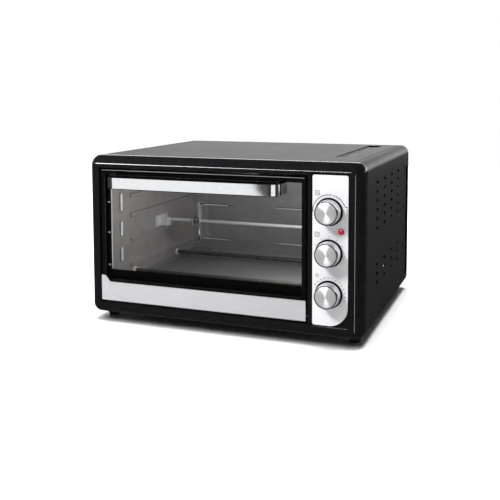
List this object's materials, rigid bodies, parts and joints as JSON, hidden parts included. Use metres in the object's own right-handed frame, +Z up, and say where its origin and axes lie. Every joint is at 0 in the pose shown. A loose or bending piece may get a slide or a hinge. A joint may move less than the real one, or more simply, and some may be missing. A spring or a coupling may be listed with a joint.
{
  "type": "rotisserie oven",
  "caption": "Countertop electric oven with a drop-down glass door, a motor-turned spit with sliding forks in its cavity, and rotary controls beside the door",
  "frame": {"origin": "Bottom centre of the whole oven, on the surface that its feet stand on.", "axes": "+Z up, +X to the right seen from the front, +Y from the door to the back."},
  "size_m": [0.47, 0.433, 0.28],
  "materials": {
    "gloss_black_moulding": "gloss",
    "satin_black_moulding": "satin",
    "painted_steel": "satin",
    "aluminised_steel": "satin",
    "brushed_stainless": "brushed",
    "bright_chrome": "polished",
    "spun_aluminium": "spun",
    "plated_steel": "zinc plated",
    "heater_sheath": "oxidised",
    "white_ceramic": "unglazed ceramic",
    "clear_glass": "clear with a printed lower band",
    "red_lens": "clear red, domed",
    "rubber_feet": "matt",
    "control_housing": "matt"
  },
  "bodies": {
    "oven": {"front_frame": "gloss_black_moulding", "cable_gland": "satin_black_moulding", "outer_cover": "painted_steel", "base_pan": "painted_steel", "rear_panel": "painted_steel", "top_vent_grille": "painted_steel", "cavity_face": "aluminised_steel", "cavity_left": "aluminised_steel", "cavity_right": "aluminised_steel", "cavity_roof": "aluminised_steel", "cavity_floor": "aluminised_steel", "cavity_back": "aluminised_steel", "crumb_tray": "aluminised_steel", "control_bracket": "aluminised_steel", "control_fascia": "brushed_stainless", "socket_ring": "bright_chrome", "rack_stops": "bright_chrome", "spit_support": "bright_chrome", "rear_screws": "plated_steel", "rotisserie_motor": "plated_steel", "heating_element_upper_front": "heater_sheath", "heating_element_upper_rear": "heater_sheath", "heating_element_lower_front": "heater_sheath", "heating_element_lower_rear": "heater_sheath", "element_insulators": "white_ceramic", "indicator_lens": "red_lens", "foot_front_left": "rubber_feet", "foot_front_right": "rubber_feet", "foot_rear_left": "rubber_feet", "foot_rear_right": "rubber_feet", "function_switch": "control_housing", "thermostat": "control_housing", "timer": "control_housing"},
    "door": {"door_frame": "gloss_black_moulding", "door_glass": "clear_glass", "glass_retainer": "aluminised_steel", "glass_rivets": "plated_steel", "door_trim": "brushed_stainless", "handle_bar": "bright_chrome", "handle_body": "satin_black_moulding", "handle_screws": "plated_steel", "hinge_pins": "plated_steel"},
    "spit": {"spit_rod": "bright_chrome", "drive_socket": "bright_chrome"},
    "left_fork": {"fork_left": "bright_chrome"},
    "right_fork": {"fork_right": "bright_chrome"},
    "left_thumbscrew": {"thumbscrew_left": "bright_chrome"},
    "right_thumbscrew": {"thumbscrew_right": "bright_chrome"},
    "thermostat_knob": {"knob_skirt_thermostat": "satin_black_moulding", "knob_body_thermostat": "bright_chrome", "knob_cap_thermostat": "spun_aluminium", "knob_shaft_thermostat": "plated_steel"},
    "function_knob": {"knob_skirt_function": "satin_black_moulding", "knob_body_function": "bright_chrome", "knob_cap_function": "spun_aluminium", "knob_shaft_function": "plated_steel"},
    "timer_knob": {"knob_skirt_timer": "satin_black_moulding", "knob_body_timer": "bright_chrome", "knob_cap_timer": "spun_aluminium", "knob_shaft_timer": "plated_steel"}
  },
  "joints": [
    {"name": "door_hinge", "type": "hinge", "parent": "oven", "child": "door", "pos_m": [0, -0.1755, 0.044], "axis": [1, 0, 0], "range_deg": [0, 90]},
    {"name": "spit_turn", "type": "hinge", "parent": "oven", "child": "spit", "pos_m": [0, 0.0215, 0.143], "axis": [1, 0, 0], "continuous": true},
    {"name": "fork_left_slide", "type": "slide", "parent": "spit", "child": "left_fork", "axis": [1, 0, 0], "range_m": [-0.05, 0.07]},
    {"name": "fork_right_slide", "type": "slide", "parent": "spit", "child": "right_fork", "axis": [1, 0, 0], "range_m": [-0.07, 0.02]},
    {"name": "thumbscrew_left_turn", "type": "hinge", "parent": "left_fork", "child": "left_thumbscrew", "pos_m": [-0.1275, 0.0215, 0.143], "axis": [0, -1, 0], "range_deg": [0, 360]},
    {"name": "thumbscrew_right_turn", "type": "hinge", "parent": "right_fork", "child": "right_thumbscrew", "pos_m": [0.1025, 0.0215, 0.143], "axis": [0, -1, 0], "range_deg": [0, 360]},
    {"name": "thermostat_turn", "type": "hinge", "parent": "oven", "child": "thermostat_knob", "pos_m": [0.1837, -0.1835, 0.2079], "axis": [0, 1, 0], "range_deg": [0, 270]},
    {"name": "function_turn", "type": "hinge", "parent": "oven", "child": "function_knob", "pos_m": [0.1837, -0.1835, 0.1454], "axis": [0, 1, 0], "range_deg": [0, 240]},
    {"name": "timer_turn", "type": "hinge", "parent": "oven", "child": "timer_knob", "pos_m": [0.1837, -0.1835, 0.0829], "axis": [0, 1, 0], "range_deg": [0, 300], "stiffness_Nm_per_rad": 0.004}
  ]
}
